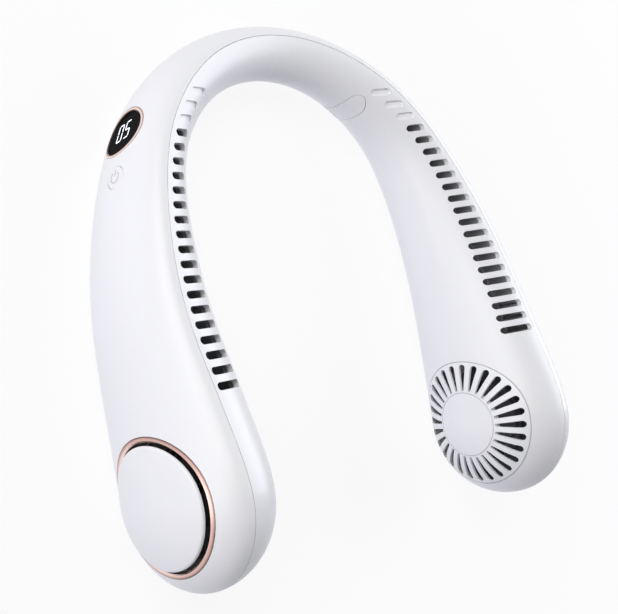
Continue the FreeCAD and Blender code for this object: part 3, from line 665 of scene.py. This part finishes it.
def digit(name, bars, offset, face):
    """Raised bars of one digit on the display's window."""
    bm = bmesh.new()
    for bar in bars:
        lamp_bar(bm, bar)
    cut_across(bm)
    grown = bmesh.ops.extrude_face_region(bm, geom=bm.faces[:])
    raised = [item for item in grown["geom"] if isinstance(item, bmesh.types.BMVert)]
    bmesh.ops.translate(bm, verts=raised, vec=(0, 0, PRINT_THICKNESS))
    slant = Matrix.Identity(4)
    slant[0][1] = DIGIT_SLANT
    place = face @ Matrix.Translation((offset + READING_RIGHT, READING_UP, 0)) @ slant
    bmesh.ops.transform(bm, matrix=place, verts=bm.verts)
    laid_on(bm, "display_lens", face)
    printed(name, bm, display_white, "body")


display_face = face_frame("display_lens", display_outward, DISPLAY_TURN)
digit("display_tens", ZERO_BARS, -0.5 * DIGIT_PITCH, display_face)
digit("display_units", FIVE_BARS, 0.5 * DIGIT_PITCH, display_face)

ICON_RADIUS = 2.1 * MM
ICON_STROKE = 0.3 * MM
ICON_BAR_CENTRE = 1.575 * MM
ICON_GAP = math.radians(70.0)
ICON_TURN = math.radians(90.0)
ICON_STEPS = 36


def power_mark(face):
    """Open ring with an upright bar in its gap."""
    bm = bmesh.new()
    inner = ICON_RADIUS - ICON_STROKE
    corners = ((inner, 0), (ICON_RADIUS, 0), (ICON_RADIUS, PRINT_THICKNESS), (inner, PRINT_THICKNESS))
    loop = [bm.verts.new((radius, 0, z)) for radius, z in corners]
    section = bm.faces.new(loop)
    gap_end = 0.5 * (math.pi + ICON_GAP)
    bmesh.ops.rotate(bm, verts=loop, matrix=Matrix.Rotation(gap_end, 3, "Z"))
    bmesh.ops.spin(
        bm,
        geom=[section] + section.edges[:] + loop,
        axis=UP,
        cent=(0, 0, 0),
        angle=2.0 * math.pi - ICON_GAP,
        steps=ICON_STEPS,
    )
    bar = bmesh.ops.create_cube(bm, size=1.0)["verts"]
    bmesh.ops.scale(bm, verts=bar, vec=(ICON_STROKE, ICON_RADIUS, PRINT_THICKNESS))
    bmesh.ops.translate(bm, verts=bar, vec=(0, ICON_BAR_CENTRE, 0.5 * PRINT_THICKNESS))
    bmesh.ops.transform(bm, matrix=face, verts=bm.verts)
    printed("power_mark", bm, printed_grey, "power_button")


power_mark(face_frame("power_button", button_outward, ICON_TURN))

# Studio: a white floor and world, soft lamps and the camera, in metres and degrees; lens and sensor in mm
FLOOR_SIZE = 14.0
FLOOR_LIGHT = (0.9, 0.9, 0.91)
FLOOR_DARK = (0.88, 0.88, 0.89)
FLOOR_CLOUDS = 3.0
FLOOR_GLOW = 0.88
FLOOR_BOUNCE = 0.64
SWEEP_START = 0.12
SWEEP_END = 0.4
SHADE_TINT = (0.86, 0.865, 1.0)
AMBIENT = 0.05
LAMP_SIZE = 0.9
LAMP_AIM = Vector((0, 0, 0.03))
COOL_WHITE = (0.91, 0.925, 1)
CAMERA_SPOT = (-0.361518, -0.020384, 0.37874)
CAMERA_TURN = (10.6205, -43.83, -13.4791)
CAMERA_LENS = 80.78
CAMERA_SENSOR = 36.0
CAMERA_CLIP = 0.01


def background_share(finish):
    """One for rays that see the background straight, in a reflection or through glass."""
    rays = finish.node("ShaderNodeLightPath", output="Is Camera Ray")
    total = rays + rays.beside("Is Glossy Ray") + rays.beside("Is Transmission Ray")
    return finish.maths("MINIMUM", total, 1.0)


def studio_floor():
    """Light table with a soft light on the object: nearly white near it, to show its shadow, then white."""
    finish = Finish("floor_white", Roughness=0.9)
    finish.drive("Base Color", finish.tint(finish.noise(FLOOR_CLOUDS), FLOOR_DARK, FLOOR_LIGHT))
    seen = background_share(finish)
    lit = {"Color": finish.tint(seen, SHADE_TINT, WHITE), "Strength": 1.0}
    glow = finish.node("ShaderNodeEmission", {}, lit)
    sweep = finish.ramp(finish.vectors("LENGTH", finish.place()), SWEEP_START, SWEEP_END, FLOOR_GLOW, 1.0)
    share = between(seen, FLOOR_BOUNCE, sweep)
    surface = Signal(finish, finish.shader.outputs["BSDF"])
    mixed = finish.node("ShaderNodeMixShader", {}, {0: share, 1: surface, 2: glow})
    finish.feed(finish.tree.nodes["Material Output"].inputs["Surface"], mixed)
    bm = bmesh.new()
    bmesh.ops.create_grid(bm, x_segments=1, y_segments=1, size=0.5 * FLOOR_SIZE)
    floor = mesh_object("studio_floor", bm, finish.material)


class WorldFinish(Finish):
    """The world's node tree, with the same way of adding nodes."""

    def __init__(self, world):
        world.use_nodes = True
        self.tree = world.node_tree
        self.shader = self.tree.nodes["Background"]


def studio_world():
    """White where it is seen, and a tinted ambient light on the object."""
    world = bpy.data.worlds.new("studio")
    bpy.context.scene.world = world
    finish = WorldFinish(world)
    seen = background_share(finish)
    finish.drive("Color", finish.tint(seen, SHADE_TINT, WHITE))
    finish.drive("Strength", between(seen, AMBIENT, 1.0))


def soft_lamp(name, spot, power, colour):
    """Square lamp that points at the object."""
    lamp = bpy.data.lights.new(name, "AREA")
    lamp.shape = "SQUARE"
    lamp.size = LAMP_SIZE
    lamp.energy = power
    lamp.color = colour
    holder = linked(name, lamp)
    holder.location = spot
    holder.rotation_euler = (LAMP_AIM - Vector(spot)).to_track_quat("-Z", "Y").to_euler()


def studio_camera():
    data = bpy.data.cameras.new("camera")
    data.sensor_width = CAMERA_SENSOR
    data.lens = CAMERA_LENS
    data.clip_start = CAMERA_CLIP
    camera = linked("camera", data)
    camera.location = CAMERA_SPOT
    camera.rotation_euler = [math.radians(angle) for angle in CAMERA_TURN]
    bpy.context.scene.camera = camera


studio_floor()
studio_world()
soft_lamp("key_softbox", spot=(-0.6, 0.6, 0.9), power=9.2, colour=WHITE)
soft_lamp("fill_softbox", spot=(-1.1, -0.05, 0.6), power=5.0, colour=WHITE)
soft_lamp("right_softbox", spot=(1.1, 0.2, 0.6), power=10.6, colour=COOL_WHITE)
studio_camera()
bpy.context.scene.view_settings.view_transform = "Standard"
